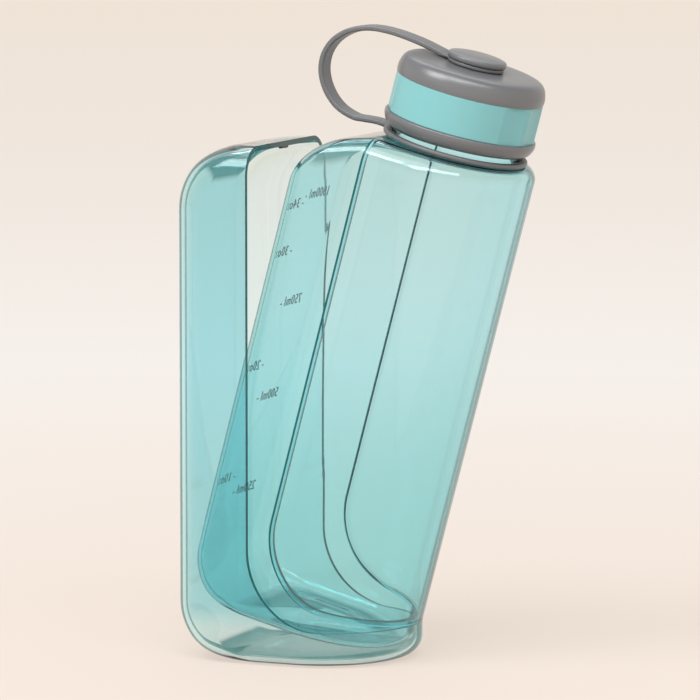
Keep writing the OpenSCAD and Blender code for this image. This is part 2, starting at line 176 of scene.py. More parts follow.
def finish_mesh(me, smooth):
    bm = bmesh.new()
    bm.from_mesh(me)
    bmesh.ops.remove_doubles(bm, verts=bm.verts, dist=WELD)
    bmesh.ops.recalc_face_normals(bm, faces=bm.faces)
    bm.to_mesh(me)
    bm.free()
    shade(me, smooth)


def mesh(name, verts, faces, body, mat, leaned=False, replaces=(), smooth=40, edge=None):
    """A piece from points and faces; edge is (material, faces that get it)."""
    me = bpy.data.meshes.new(name)
    me.from_pydata([tuple(c / MM_IN_M for c in v) for v in verts], [], faces)
    if edge:
        for i in edge[1]:
            me.polygons[i].material_index = 1
    me.validate()
    finish_mesh(me, smooth)
    if leaned:
        me.transform(lean_matrix())
    o = bpy.data.objects.new(name, me)
    bpy.context.collection.objects.link(o)
    me.materials.append(mat)
    if edge:
        me.materials.append(edge[0])
    if body:
        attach(o, body)
    if replaces:
        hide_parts(*replaces)
    return o


def loft_faces(rings, n, closed_rings=False):
    """Quads between rings of n points each."""
    faces = []
    for i in range(rings if closed_rings else rings - 1):
        a, b = i * n, (i + 1) % rings * n
        for j in range(n):
            k = (j + 1) % n
            faces.append((a + j, a + k, b + k, b + j))
    return faces


# ---------------------------------------------------------------- materials
# sockets of a colour Mix node, which share their names with other sockets of the node
MIX_A, MIX_B, MIX_OUT = 6, 7, 2
PLASTIC_IOR, FLOW_SCALE = 1.49, 26.0
GRAIN_SCALE, VARY_SCALE, GRAIN_DEPTH, ROUGH_SPREAD = 2600.0, 60.0, 0.00006, 0.06


def new_mat(name):
    m = bpy.data.materials.new(name)
    m.use_nodes = True
    nt = m.node_tree
    return m, nt, nt.nodes["Principled BSDF"]


def node(nt, kind, **values):
    """A new node, with its sockets and settings by name."""
    n = nt.nodes.new(kind)
    for k, v in values.items():
        if k in n.inputs:
            n.inputs[k].default_value = v
        else:
            setattr(n, k, v)
    return n


def ramp(nt, fac, stops, interpolation="EASE"):
    r = node(nt, "ShaderNodeValToRGB")
    r.color_ramp.interpolation = interpolation
    while len(r.color_ramp.elements) < len(stops):
        r.color_ramp.elements.new(0.5)
    for e, (pos, color) in zip(r.color_ramp.elements, stops):
        e.position = pos
        e.color = (*color, 1)
    nt.links.new(fac, r.inputs["Fac"])
    return r.outputs["Color"]


def largest(nt, sockets):
    """The largest of some values."""
    out = sockets[0]
    for other in sockets[1:]:
        most = node(nt, "ShaderNodeMath", operation="MAXIMUM")
        nt.links.new(out, most.inputs[0])
        nt.links.new(other, most.inputs[1])
        out = most.outputs[0]
    return out


def multiplied(nt, color):
    """A node that multiplies a colour by what its second socket gets."""
    mix = node(nt, "ShaderNodeMix", data_type="RGBA", blend_type="MULTIPLY")
    mix.inputs["Factor"].default_value = 1.0
    nt.links.new(color, mix.inputs[MIX_A])
    return mix


def clear_plastic(name, tint, depth, rough, wave=0.0, clear=1.0, painted_shade_and_tint=()):
    """Clear moulded plastic. Its colour comes from how much plastic a ray crosses, by the
    (colour, density) of depth. tint is one colour, or stops of (facing, colour) that paint shade
    where the wall turns from view, and can paint light again at its very edge. The last argument
    lists where the colour is deepened, by painted shade or by a deeper tint: the colour there,
    then (axis, start, end) of each fade back to plain. wave is the height of slow waves, which
    stand for the flow of the moulding. clear is the share of light that passes, and the rest
    scatters in the surface with the base colour, which on edges and marks is a dark painted shade."""
    m, nt, p = new_mat(name)
    co = node(nt, "ShaderNodeTexCoord")
    if isinstance(tint, list):
        # painted shade by facing: darker where the wall turns from view, lighter again at its very
        # edge where the stops say so
        lw = node(nt, "ShaderNodeLayerWeight", Blend=0.5)
        xyz = node(nt, "ShaderNodeSeparateXYZ")
        nt.links.new(co.outputs["Object"], xyz.inputs[0])
        color = ramp(nt, lw.outputs["Facing"], tint)
        # painted shade on the bowl's near side wall, and a deeper tint towards the bottom of the
        # bottle; each fades back to plain along its axes
        for cast, *fades in painted_shade_and_tint:
            plain = []
            for axis, start, end in fades:
                fade = node(nt, "ShaderNodeMapRange", **{"From Min": start, "From Max": end})
                nt.links.new(xyz.outputs[axis], fade.inputs["Value"])
                plain.append(fade.outputs["Result"])
            mix = multiplied(nt, color)
            part = ramp(nt, largest(nt, plain), [(0.0, cast), (1.0, (1, 1, 1))])
            nt.links.new(part, mix.inputs[MIX_B])
            color = mix.outputs[MIX_OUT]
        nt.links.new(color, p.inputs["Base Color"])
    else:
        p.inputs["Base Color"].default_value = (*tint, 1)
    p.inputs["Roughness"].default_value = rough
    p.inputs["IOR"].default_value = PLASTIC_IOR
    p.inputs["Transmission Weight"].default_value = clear
    nz = node(nt, "ShaderNodeTexNoise", Scale=FLOW_SCALE, Detail=1.0)
    nt.links.new(co.outputs["Object"], nz.inputs["Vector"])
    bump = node(nt, "ShaderNodeBump", Strength=1.0, Distance=wave)
    nt.links.new(nz.outputs["Fac"], bump.inputs["Height"])
    nt.links.new(bump.outputs["Normal"], p.inputs["Normal"])
    vol = node(nt, "ShaderNodeVolumeAbsorption")
    vol.inputs["Color"].default_value = (*depth[0], 1)
    vol.inputs["Density"].default_value = depth[1]
    nt.links.new(vol.outputs[0], nt.nodes["Material Output"].inputs["Volume"])
    return m


def moulded(name, color, rough, grain=0.25, vary=0.05, spec=0.5, sss=0.0):
    """Moulded opaque plastic or silicone with a fine grain and a slow variation of its colour;
    sss is the share of light that goes under the surface."""
    m, nt, p = new_mat(name)
    co = node(nt, "ShaderNodeTexCoord")
    fine = node(nt, "ShaderNodeTexNoise", Scale=GRAIN_SCALE, Detail=4.0)
    slow = node(nt, "ShaderNodeTexNoise", Scale=VARY_SCALE, Detail=2.0)
    for n in (fine, slow):
        nt.links.new(co.outputs["Object"], n.inputs["Vector"])
    both = node(nt, "ShaderNodeMath", operation="ADD")
    nt.links.new(fine.outputs["Fac"], both.inputs[0])
    nt.links.new(slow.outputs["Fac"], both.inputs[1])
    tone = ramp(nt, both.outputs[0], [(0.0, [c * (1 - 2 * vary) for c in color]),
                                      (1.0, [min(1, c * (1 + vary)) for c in color])], "LINEAR")
    nt.links.new(tone, p.inputs["Base Color"])
    bump = node(nt, "ShaderNodeBump", Strength=grain, Distance=GRAIN_DEPTH)
    nt.links.new(fine.outputs["Fac"], bump.inputs["Height"])
    nt.links.new(bump.outputs["Normal"], p.inputs["Normal"])
    rr = node(nt, "ShaderNodeMapRange",
              **{"To Min": rough - ROUGH_SPREAD, "To Max": rough + ROUGH_SPREAD})
    nt.links.new(slow.outputs["Fac"], rr.inputs["Value"])
    nt.links.new(rr.outputs["Result"], p.inputs["Roughness"])
    p.inputs["Specular IOR Level"].default_value = spec
    if sss:
        p.inputs["Subsurface Weight"].default_value = sss
        p.inputs["Subsurface Radius"].default_value = (0.2, 1.0, 0.9)
        p.inputs["Subsurface Scale"].default_value = 0.003
    return m


# colours by facing: the plastic's own pale tint face on, painted shade where the wall turns from
# view, painted light at its very edge
PALE, TURNING_SHADE, GRAZING_LIGHT = (0.985, 0.995, 0.995), (0.004, 0.11, 0.115), (0.7, 0.92, 0.9)
# painted shade on the bowl's near side wall, then a deeper tint towards the bottom of the bottle
NEAR_SIDE_SHADE, BASE_CAST = (0.5, 0.8, 0.85), (0.8, 0.95, 0.955)
# painted shade: the thread's colours by facing, then the dark colour of edges and marks
THREAD_FACING_SHADE, THREAD_TURNING_SHADE, EDGE_SHADE = (0.35, 0.78, 0.77), (0.1, 0.45, 0.45), (0.002, 0.13, 0.14)
BOWL_DEPTH = (0.1, 0.92, 1.0), 62.0
BOTTLE_DEPTH = (0.02, 0.79, 0.87), 190.0
EDGE_DEPTH = (0.1, 0.8, 0.85), 100.0
POLISHED, FLOW = 0.02, 0.0002

# the shells: painted shade by facing along their edges, painted light at the bowl's very edge, and
# painted shade on the bowl's near side wall
bowl_mat = clear_plastic(
    "bowl_clear", [(0.0, PALE), (0.635, PALE), (0.67, TURNING_SHADE), (0.84, TURNING_SHADE), (0.873, GRAZING_LIGHT)],
    BOWL_DEPTH, POLISHED, FLOW, painted_shade_and_tint=[(NEAR_SIDE_SHADE, ("Y", -0.0405, -0.034), ("Z", 0.026, 0.012))])
bottle_mat = clear_plastic(
    "bottle_clear", [(0.0, PALE), (0.7, PALE), (0.77, TURNING_SHADE), (0.9, TURNING_SHADE)],
    BOTTLE_DEPTH, POLISHED, FLOW, painted_shade_and_tint=[(BASE_CAST, ("Z", 0.04, 0.17))])
# the neck's thread: painted shade by facing, teal face on and darker where it turns from view
thread_shade_mat = clear_plastic(
    "thread_painted_shade", [(0.0, THREAD_FACING_SHADE), (0.3, THREAD_TURNING_SHADE), (0.6, TURNING_SHADE)], BOTTLE_DEPTH, POLISHED)
# painted shade: a dark, mostly opaque colour for the bowl's rim edge and the line along the
# bottle's step
painted_edge_shade_mat = clear_plastic("edge_painted_shade", EDGE_SHADE, EDGE_DEPTH, 0.15, clear=0.25)
# painted shade: the raised marks get the same dark, mostly opaque colour
painted_mark_shade_mat = clear_plastic("mark_painted_shade", EDGE_SHADE, EDGE_DEPTH, 0.3, clear=0.2)
band_mat = moulded("band_teal", (0.21, 0.51, 0.53), 0.36, grain=0.12, vary=0.03, sss=0.15)
grey_mat = moulded("cap_grey", (0.135, 0.139, 0.147), 0.31, spec=0.9)
tether_mat = moulded("tether_grey", (0.135, 0.138, 0.145), 0.4, grain=0.3, spec=0.6)
seal_mat = moulded("seal_pale", (0.6, 0.62, 0.62), 0.6)


# ---------------------------------------------------------------- bowl
SOLE_ROWS, FOOT_ROWS, RIM_ROWS, WALL_ROWS, CROWN_ROWS = 14, 5, 40, 10, 30
SIDE_PARTS, CORNER_PARTS, BACK_PARTS, TOE_PARTS = 44, 18, 16, 72
QUARTER = math.pi / 2


def bowl_rows(off):
    """(height, rim end) of each row from the sole up to the crown; None is a foot row."""
    crown_z = BOWL_H - CROWN_R
    rows = [(SOLE_R - (SOLE_R - off) * math.cos(a), None) for a in lin(0, QUARTER, SOLE_ROWS)]
    rows += [(z, None) for z in lin(SOLE_R, FOOT_H, FOOT_ROWS)[1:]]
    rows += [(TURN_Z - RIM_R * math.cos(b), TURN_X - RIM_R * math.sin(b))
             for b in lin(0, QUARTER, RIM_ROWS)[1:]]
    rows += [(z, RIM_X) for z in lin(TURN_Z, crown_z, WALL_ROWS)[1:-1]]
    rows += [(crown_z + (CROWN_R - off) * math.sin(c), RIM_X) for c in lin(0, QUARTER, CROWN_ROWS)]
    return rows


def bowl_row(z, xe, off):
    """One row, from the near rim around the back to the far rim."""
    hw, xb = half_at(z, off), back_at(z, off)
    rc = min(CORNER_R - off, xe - xb - 0.5)
    xc, hc = xb + rc, hw - rc
    s0, s1 = side_len(xe, hw), side_len(xc, hw)
    bend = lin(0, QUARTER, CORNER_PARTS)[1:]
    pts = [(*side_point(s, hw), z) for s in lin(s0, s1, SIDE_PARTS)]
    pts += [(xc - rc * math.sin(a), -hc - rc * math.cos(a), z) for a in bend]
    pts += [(xb, y, z) for y in lin(-hc, hc, BACK_PARTS)[1:]]
    pts += [(xc - rc * math.cos(a), hc + rc * math.sin(a), z) for a in bend]
    for s in lin(s1, s0, SIDE_PARTS)[1:]:
        x, y = side_point(s, hw)
        pts.append((x, -y, z))
    return pts


def bowl_skin(verts, off):
    """Adds one skin's points; gives its rows as (main points, toe points)."""
    rows = []
    for z, end in bowl_rows(off):
        hw = half_at(z, off)
        xe = end if end is not None else FOOT_CX + (TURN_X - FOOT_CX) * hw / (BOWL_W / 2 - off)
        pts = bowl_row(z, xe, off)
        toe = []
        if end is None:
            a0 = math.acos((TURN_X - FOOT_CX) / (BOWL_W / 2 - off))
            toe = [(FOOT_CX + hw * math.cos(a), hw * math.sin(a), z)
                   for a in lin(a0, -a0, TOE_PARTS)[1:-1]]
        start = len(verts)
        verts.extend(pts + toe)
        rows.append((list(range(start, start + len(pts))),
                     list(range(start + len(pts), start + len(pts) + len(toe)))))
    return rows


def build_bowl():
    verts, faces = [], []
    skins = [bowl_skin(verts, off) for off in (0.0, BOWL_WALL)]
    feet = sum(1 for r in skins[0] if r[1])
    for rows in skins:
        for i in range(len(rows) - 1):
            closed = i + 1 < feet
            a = rows[i][0] + (rows[i][1] if closed else [])
            b = rows[i + 1][0] + (rows[i + 1][1] if closed else [])
            for j in range(len(a) if closed else len(a) - 1):
                k = (j + 1) % len(a)
                faces.append((a[j], a[k], b[k], b[j]))
        # the flat sole and the flat crown, each a fan about its middle
        crown_x = (BACK_X + CROWN_R + RIM_X) / 2
        for ring, x in ((rows[0][0] + rows[0][1], FOOT_CX), (rows[-1][0], crown_x)):
            mid = len(verts)
            verts.append((x, 0, verts[ring[0]][2]))
            faces += [(mid, ring[j], ring[(j + 1) % len(ring)]) for j in range(len(ring))]
    # the rim's edge, joining the two skins, painted a dark shade
    edge_out, edge_in = [[main[0] for main, _ in rows[feet - 1:]][::-1] + rows[feet - 1][1][::-1]
                         + [main[-1] for main, _ in rows[feet - 1:]] for rows in skins]
    first = len(faces)
    for j in range(len(edge_out)):
        k = (j + 1) % len(edge_out)
        faces.append((edge_out[j], edge_out[k], edge_in[k], edge_in[j]))
    bowl = mesh("bowl_shell", verts, faces, "bowl_body", bowl_mat,
                replaces=("bowl",), edge=(painted_edge_shade_mat, range(first, len(faces))))
    bev = bowl.modifiers.new("edge", "BEVEL")
    bev.width, bev.segments = 0.0005, 3
    bev.limit_method, bev.angle_limit = "ANGLE", math.radians(50)


# ---------------------------------------------------------------- bottle
RING_FRONT, RING_SIDE, RING_CORNER, RING_BACK = 56, 18, 16, 12
BASE_RINGS, SOLE_RINGS, HEEL_RINGS, STEP_RINGS, WALL_RINGS, SHOULDER_RINGS = 16, 12, 4, 36, 12, 22
# the line of painted dark shade along the step: its width, its first ring, and the rings that it
# stops short of the neck on the near and the far side
STEP_LINE, LINE_FROM, LINE_NEAR, LINE_FAR = 0.9, 34, 6, 22
STEP_SLANT, STEP_LIFT = 0.4, 0.02


def half_ring(front, rear, xb, rc, xs):
    """Near half of a ring as (x, y, zone): 0 front, 1 recessed side, 1 to 2 corner, 2 back.
    front and rear are its half widths, xb is its back wall and xs the step between the two."""
    xc, hc = xb + rc, rear - rc
    la, lb, lc = side_len(xs + STEP_SLANT, front), side_len(xs, rear), side_len(xc, rear)
    pts = [(*side_point(s, front), 0.0) for s in lin(0, la - STEP_LINE, RING_FRONT - 1) + [la]]
    pts += [(*side_point(s, rear), 1.0) for s in lin(lb, lc, RING_SIDE)]
    for k in range(1, RING_CORNER + 1):
        a = QUARTER * k / RING_CORNER
        pts.append((xc - rc * math.sin(a), -hc - rc * math.cos(a), 1 + k / RING_CORNER))
    pts += [(xb, -hc * (1 - k / RING_BACK), 2.0) for k in range(1, RING_BACK + 1)]
    return pts


def full_ring(half):
    """A half ring and its mirror image, without the points on the middle line twice."""
    return half + [(x, -y, t) for x, y, t in half[-2:0:-1]]


def flat_ring(half, z, lift=0.0):
    """A ring at height z, with its recessed part lifted a little."""
    return [(x, y, z if t < 1 else z + lift) for x, y, t in full_ring(half)]


def top_at(x, off):
    """Height of the bottle's top at x: level in front, swung about the toe behind."""
    return min(TOP_Z, FOOT_H + root(TOP_ARC_R ** 2 - (TOE_X - x) ** 2)) - off


def shoulder_ring(a, off):
    """Ring at angle a of the shoulder's rounding, from the wall (0) to the flat top (pi / 2)."""
    c, s = 1 - math.cos(a), 1 - math.sin(a)
    d, b = (SIDE_SH - off) * c, (BACK_SH - off) * c
    flush = BOWL_W / 2 - off
    half = half_ring(flush, BOWL_W / 2 - RECESS - off - d, BACK_X + RECESS + off + b,
                     CORNER_R - RECESS - off - 0.6 * d, STEP_X + off)
    out = []
    for x, y, t in full_ring(half):
        r = SIDE_SH + (BACK_SH - SIDE_SH) * (t - 1) - off
        if t < 1:
            turn = math.atan2(abs(y), max(0.0, x - FOOT_CX)) / QUARTER
            r = FRONT_SH + (FLANK_SH - FRONT_SH) * turn ** 2 * (3 - 2 * turn) - off
            k = 1 - r * c / flush
            x, y = (FOOT_CX + (x - FOOT_CX) * k if x > FOOT_CX else x), y * k
        out.append((x, y, top_at(x, off) - r * s))
    return out


def neck_ring(radius, off, z=None):
    """Circle about the neck, with each point in line with the ring it grows from."""
    out = []
    for x, y, _ in shoulder_ring(QUARTER, off):
        a = math.atan2(y, x - NECK_X)
        nx = NECK_X + radius * math.cos(a)
        out.append((nx, radius * math.sin(a), top_at(nx, off) if z is None else z))
    return out


def between(a, b, t):
    """The ring at share t of the way from ring a to ring b."""
    return [tuple(u + (v - u) * t for u, v in zip(p, q)) for p, q in zip(a, b)]


def bottle_rings(off):
    """All rings of one skin, from the middle of the base up to the neck."""
    o = RECESS + off
    rc = CORNER_R - o
    zl = TURN_Z - STEP_R + off
    base_x = (BACK_X + HEEL_R + TOE_X - SOLE_R) / 2

    def plain(z):
        return flat_ring(half_ring(half_at(z, o), half_at(z, o), back_at(z, o), rc, TURN_X), z)

    low = plain(o)
    rings = []
    for k in lin(0.06, 0.9, BASE_RINGS):
        rise = 0.5 + 0.5 * math.cos(math.pi * min(1.0, k / 0.9))
        rings.append([(base_x + (x - base_x) * k, y * k, o + BASE_RISE * rise) for x, y, z in low])
    rings.append(low)
    rings += [plain(SOLE_R - (SOLE_R - o) * math.cos(a)) for a in lin(0, QUARTER, SOLE_RINGS)[1:]]
    rings += [plain(z) for z in lin(SOLE_R, zl, HEEL_RINGS)[1:]]
    flush = BOWL_W / 2 - off
    foot = half_ring(flush, half_at(zl, o), back_at(zl + STEP_LIFT, o), rc, TURN_X)
    rings.append(flat_ring(foot, zl, STEP_LIFT))
    for b in lin(0, QUARTER, STEP_RINGS)[1:]:
        z = TURN_Z - (STEP_R - off) * math.cos(b)
        if z > zl + 0.05:
            xs = TURN_X - (STEP_R - off) * math.sin(b)
            rings.append(flat_ring(half_ring(flush, half_at(z, o), back_at(z, o), rc, xs), z))
    low, top = rings[-1], shoulder_ring(0, off)
    rings += [between(low, top, t) for t in lin(0, 1, WALL_RINGS)[1:-1]]
    rings += [shoulder_ring(a, off) for a in lin(0, QUARTER, SHOULDER_RINGS)]
    edge, neck = rings[-1], neck_ring(NECK_R if off == 0 else BORE_R, off)
    for t in (0.25, 0.5, 0.75):
        rings.append([(x, y, top_at(x, off)) for x, y, _ in between(edge, neck, t)])
    return rings


def build_bottle():
    outer = bottle_rings(0.0) + [neck_ring(NECK_R, 0.0)]
    lip = [neck_ring(NECK_R, 0.0, LIP_Z - 0.7), neck_ring(NECK_R - 0.2, 0.0, LIP_Z - 0.2),
           neck_ring(NECK_R - 0.7, 0.0, LIP_Z), neck_ring(BORE_R + 0.3, WALL, LIP_Z),
           neck_ring(BORE_R, WALL, LIP_Z - 0.3)]
    inner = [neck_ring(BORE_R, WALL)] + bottle_rings(WALL)[::-1]
    rings = outer + lip + inner
    n = len(rings[0])
    verts = [p for r in rings for p in r]
    faces = loft_faces(len(rings), n)
    last = (len(rings) - 1) * n
    faces += [tuple(range(n))[::-1], tuple(last + j for j in range(n))]
    # the corner of the step between the flush front and the recessed back, on both sides, painted
    # as a dark line of shade
    step = [i * n + RING_FRONT - 1 for i in range(LINE_FROM, len(outer) - LINE_NEAR)]
    step += [i * n + n - RING_FRONT for i in range(LINE_FROM, len(outer) - LINE_FAR)]
    mesh("bottle_body_shell", verts, faces, "bottle_body", bottle_mat,
         leaned=True, replaces=("bottle",), smooth=50, edge=(painted_edge_shade_mat, step))


# ---------------------------------------------------------------- small details of the shells
def build_thread():
    """One start of the neck's screw thread, fading in and out."""
    pitch, turns, z0, start = 4.0, 2.6, TOP_Z + 4.2, math.radians(-150)
    steps, fade, proud, sunk = 260, 26, 0.62, 0.3
    rings = []
    for i in range(steps + 1):
        t = i / steps
        a = start + 2 * math.pi * turns * t
        grow = min(1.0, t * fade, (1 - t) * fade)
        z = z0 + pitch * turns * t
        section = [(-sunk, -1.1), (proud * grow, -0.35), (proud * grow, 0.35), (-sunk, 1.1)]
        rings.append([(NECK_X + (NECK_R + dr) * math.cos(a), (NECK_R + dr) * math.sin(a), z + dz)
                      for dr, dz in section])
    n, last = 4, 4 * steps
    faces = loft_faces(len(rings), n) + [(3, 2, 1, 0), tuple(last + j for j in range(n))]
    mesh("neck_thread", [p for r in rings for p in r], faces, "bottle_body",
         thread_shade_mat, leaned=True, smooth=60)


def build_catch():
    """The small catch under the middle of the bowl's top edge."""
    w, d, h = 4.0, 1.6, 0.9
    z1 = BOWL_H - BOWL_WALL + 0.2
    z0 = BOWL_H - BOWL_WALL - h
    x1 = RIM_X - 0.3
    wl, dl = w * 0.8, d * 0.7
    low = [(x1 - dl, -wl, z0), (x1, -wl, z0), (x1, wl, z0), (x1 - dl, wl, z0)]
    high = [(x1 - d, -w, z1), (x1, -w, z1), (x1, w, z1), (x1 - d, w, z1)]
    faces = loft_faces(2, 4) + [(3, 2, 1, 0), (4, 5, 6, 7)]
    mesh("bowl_catch", low + high, faces, "bowl_body", bowl_mat, smooth=30)


# words, place across and height of each volume mark
OZ_Y, ML_Y = -18.0, 4.5
MARKS = [("- 34oz", OZ_Y, 171.3), ("- 30oz", OZ_Y, 150.7), ("- 20oz", OZ_Y, 101.0),
         ("- 10oz", OZ_Y, 51.9), ("1000ml -", ML_Y, 174.0), ("750ml -", ML_Y, 127.0),
         ("500ml -", ML_Y, 85.5), ("250ml -", ML_Y, 44.3)]
MARK_SIZE, MARK_SPACE, MARK_PROUD, MARK_THIN = 6.2, 1.15, 0.2, -0.04


def build_marks():
    """Raised volume marks on the bottle's back wall, read from behind, painted dark as shade."""
    depth = bpy.context.evaluated_depsgraph_get
    for i, (words, y, z) in enumerate(MARKS):
        cu = bpy.data.curves.new("mark", "FONT")
        cu.body = words
        cu.size = MARK_SIZE
        cu.space_character = MARK_SPACE
        cu.align_x = "CENTER"
        cu.align_y = "CENTER"
        cu.extrude = MARK_PROUD
        cu.offset = MARK_THIN
        cu.resolution_u = 3
        tmp = bpy.data.objects.new("mark_tmp", cu)
        bpy.context.collection.objects.link(tmp)
        me = bpy.data.meshes.new_from_object(tmp.evaluated_get(depth()))
        bpy.data.objects.remove(tmp)
        # text x runs to -Y, text y runs up, and its face looks to -X
        place = Matrix(((0, 0, -1, BACK_X + RECESS), (-1, 0, 0, y), (0, 1, 0, z), (0, 0, 0, 1)))
        me.transform(lean_matrix() @ Matrix.Scale(1 / MM_IN_M, 4) @ place)
        finish_mesh(me, 30)
        me.materials.clear()
        me.materials.append(painted_mark_shade_mat)
        o = bpy.data.objects.new(f"volume_mark_{i + 1}", me)
        bpy.context.collection.objects.link(o)
        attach(o, "bottle_body")


# ---------------------------------------------------------------- cap
def curve_point(p0, p1, p2, p3, t):
    """Point at share t between p1 and p2 of a smooth curve through all four."""
    return tuple(0.5 * (2 * b + (c - a) * t + (2 * a - 5 * b + 4 * c - d) * t * t
                        + (3 * b - a - 3 * c + d) * t ** 3) for a, b, c, d in zip(p0, p1, p2, p3))


def beyond(a, b):
    """The mirror image of point b in point a."""
    return tuple(2 * u - v for u, v in zip(a, b))


def smooth_line(pts, parts):
    """A smooth line through the points, ends included."""
    out = []
    for i in range(len(pts) - 1):
        p0 = pts[i - 1] if i else beyond(pts[0], pts[1])
        p3 = pts[i + 2] if i + 2 < len(pts) else beyond(pts[-1], pts[-2])
        out += [curve_point(p0, pts[i], pts[i + 1], p3, k / parts) for k in range(parts)]
    return out + [pts[-1]]


def turned(name, outline, body, slot, mat, replaces, parts=160):
    """A piece turned about the neck's axis from a closed outline of (radius, height)."""
    rings = [[(NECK_X + r * math.cos(a), r * math.sin(a), z)
              for a in lin(0, 2 * math.pi, parts)[:-1]] for r, z in outline]
    faces = loft_faces(len(rings), parts, closed_rings=True)
    return mesh(name, [p for r in rings for p in r], faces, body, mat,
                leaned=True, replaces=replaces, smooth=42)


def build_cap():
    """Cover, collar and button as turned pieces; the band and the seal keep their solids."""
    grey = ("cap_body", "cap_grey", grey_mat)
    hole, under, z0, top = STEM_R + TOUCH, COVER_TOP - COVER_WALL, BAND_Z1, COVER_TOP
    dome = smooth_line([(COVER_R - 0.3, z0), (COVER_R - 0.1, z0 + 1.6), (COVER_R - 0.25, z0 + 3.2),
                        (COVER_R - 0.85, top - 3.5), (COVER_R - 2, top - 1.6),
                        (COVER_R - 4, top - 0.5), (COVER_R - 7, top - 0.1), (COVER_R - 10, top)], 6)
    inside = smooth_line([(COVER_IN - 5.4, under), (COVER_IN - 2.6, under - 0.4),
                          (COVER_IN - 1.1, under - 1.3), (COVER_IN - 0.3, under - 2.5),
                          (COVER_IN, under - 3.3)], 4)
    turned("cover_dome", dome + [(hole, top), (hole, under)] + inside + [(COVER_IN, z0)],
           *grey, ("cap_cover",))

    z0, h, grip = COLLAR_Z, COLLAR_H, SKIRT_FOOT_R + SEAM
    bulge = smooth_line([(SKIRT_FOOT_R + 0.6, z0), (SKIRT_FOOT_R + 1.7, z0 + 0.14 * h),
                         (COLLAR_R - 0.6, z0 + 0.39 * h), (COLLAR_R - 0.1, z0 + 0.63 * h),
                         (COLLAR_R, z0 + 0.78 * h), (COLLAR_R - 0.1, z0 + 0.93 * h),
                         (COLLAR_R - 0.5, BAND_Z0)], 6)
    turned("collar_bulge", [(grip, z0)] + bulge + [(grip, BAND_Z0)], *grey, ("cap_collar",))

    z0, top = BUTTON_Z, BUTTON_Z + BUTTON_H
    head = smooth_line([(BUTTON_R - 0.4, z0), (BUTTON_R, z0 + 0.4), (BUTTON_R, top - 1.6),
                        (BUTTON_R - 0.8, top - 0.9), (BUTTON_R - 4, top - 0.3),
                        (BUTTON_R - 8, top - 0.05), (0.01, top)], 6)
    turned("button_head", [(0.01, PLATE_Z), (STEM_R, PLATE_Z), (STEM_R, z0)] + head,
           *grey, ("cap_button",), parts=96)

    for name, mat in (("cap_shell", band_mat), ("cap_seal", seal_mat)):
        me = nodes[name].data
        me.materials.clear()
        me.materials.append(mat)
        shade(me, 32)


# ---------------------------------------------------------------- tether
# the strap's loop from its eye and back to its ring: (distance from the neck's axis, height above
# the foot of the eye, then of the ring)
LOOP_TOP = [(26, 3), (38, 3.5), (48, 2.3), (56.2, -1.3), (61.8, -6.7), (64.4, -12.9)]
LOOP_LOW = [(64.3, 15.9), (62, 10.3), (57.8, 5.3), (52.2, 1.7), (45.4, 0.1), (40.4, 0.6)]
RING_SLIM = 0.6  # the ring as drawn is this much narrower than its solid
FUSE_VOXEL, SOFTEN, SOFTEN_TIMES = 0.00028, 0.5, 5


def rounded(w, t, r, parts=4):
    """A rounded rectangle of width w and thickness t as (across, through) points."""
    pts = []
    for cx, cy, a0 in ((w / 2 - r, t / 2 - r, 0), (-w / 2 + r, t / 2 - r, 90),
                       (-w / 2 + r, -t / 2 + r, 180), (w / 2 - r, -t / 2 + r, 270)):
        for k in range(parts + 1):
            a = math.radians(a0 + 90 * k / parts)
            pts.append((cx + r * math.cos(a), cy + r * math.sin(a)))
    return pts


def strap_solid():
    """The strap, from inside the eye round its loop and into the ring."""
    eye_mid, ring_mid, parts = EYE_Z + EYE_H / 2, RING_Z + RING_H / 2, 10
    line = [(NECK_X - EYE_R + 4, eye_mid), (NECK_X - EYE_R - 1.2, eye_mid + 0.3),
            (EYE_END - SEAM, EYE_Z + STRAP_T / 2 + 0.4)]
    line += [(NECK_X - d, EYE_Z + z) for d, z in LOOP_TOP]
    line += [(NECK_X - d, RING_Z + z) for d, z in LOOP_LOW]
    line += [(RING_END - SEAM, ring_mid + 0.1), (NECK_X - RING_R + 1.0, ring_mid)]
    path = smooth_line(line, parts)
    n, rings = len(path), []
    for i, (x, z) in enumerate(path):
        a, b = path[max(0, i - 1)], path[min(n - 1, i + 1)]
        u = Vector((b[0] - a[0], b[1] - a[1])).normalized()
        ends = (i if i < n / 2 else n - 1 - i) / parts
        t = (EYE_H if i < n / 2 else RING_H) - 0.1
        t = t + (STRAP_T - t) * min(1.0, max(0.0, ends - 0.7))
        rings.append([(x - u[1] * q, w, z + u[0] * q) for w, q in rounded(STRAP_W, t, 0.75)])
    m = len(rings[0])
    faces = loft_faces(n, m)
    faces += [tuple(range(m))[::-1], tuple((n - 1) * m + j for j in range(m))]
    return [p for r in rings for p in r], faces


def hoop_solid(section, parts):
    """A closed hoop about the neck's axis."""
    rings = [[(NECK_X + r * math.cos(a), r * math.sin(a), z) for r, z in section]
             for a in lin(0, 2 * math.pi, parts)[:-1]]
    return [p for r in rings for p in r], loft_faces(len(rings), len(section), closed_rings=True)


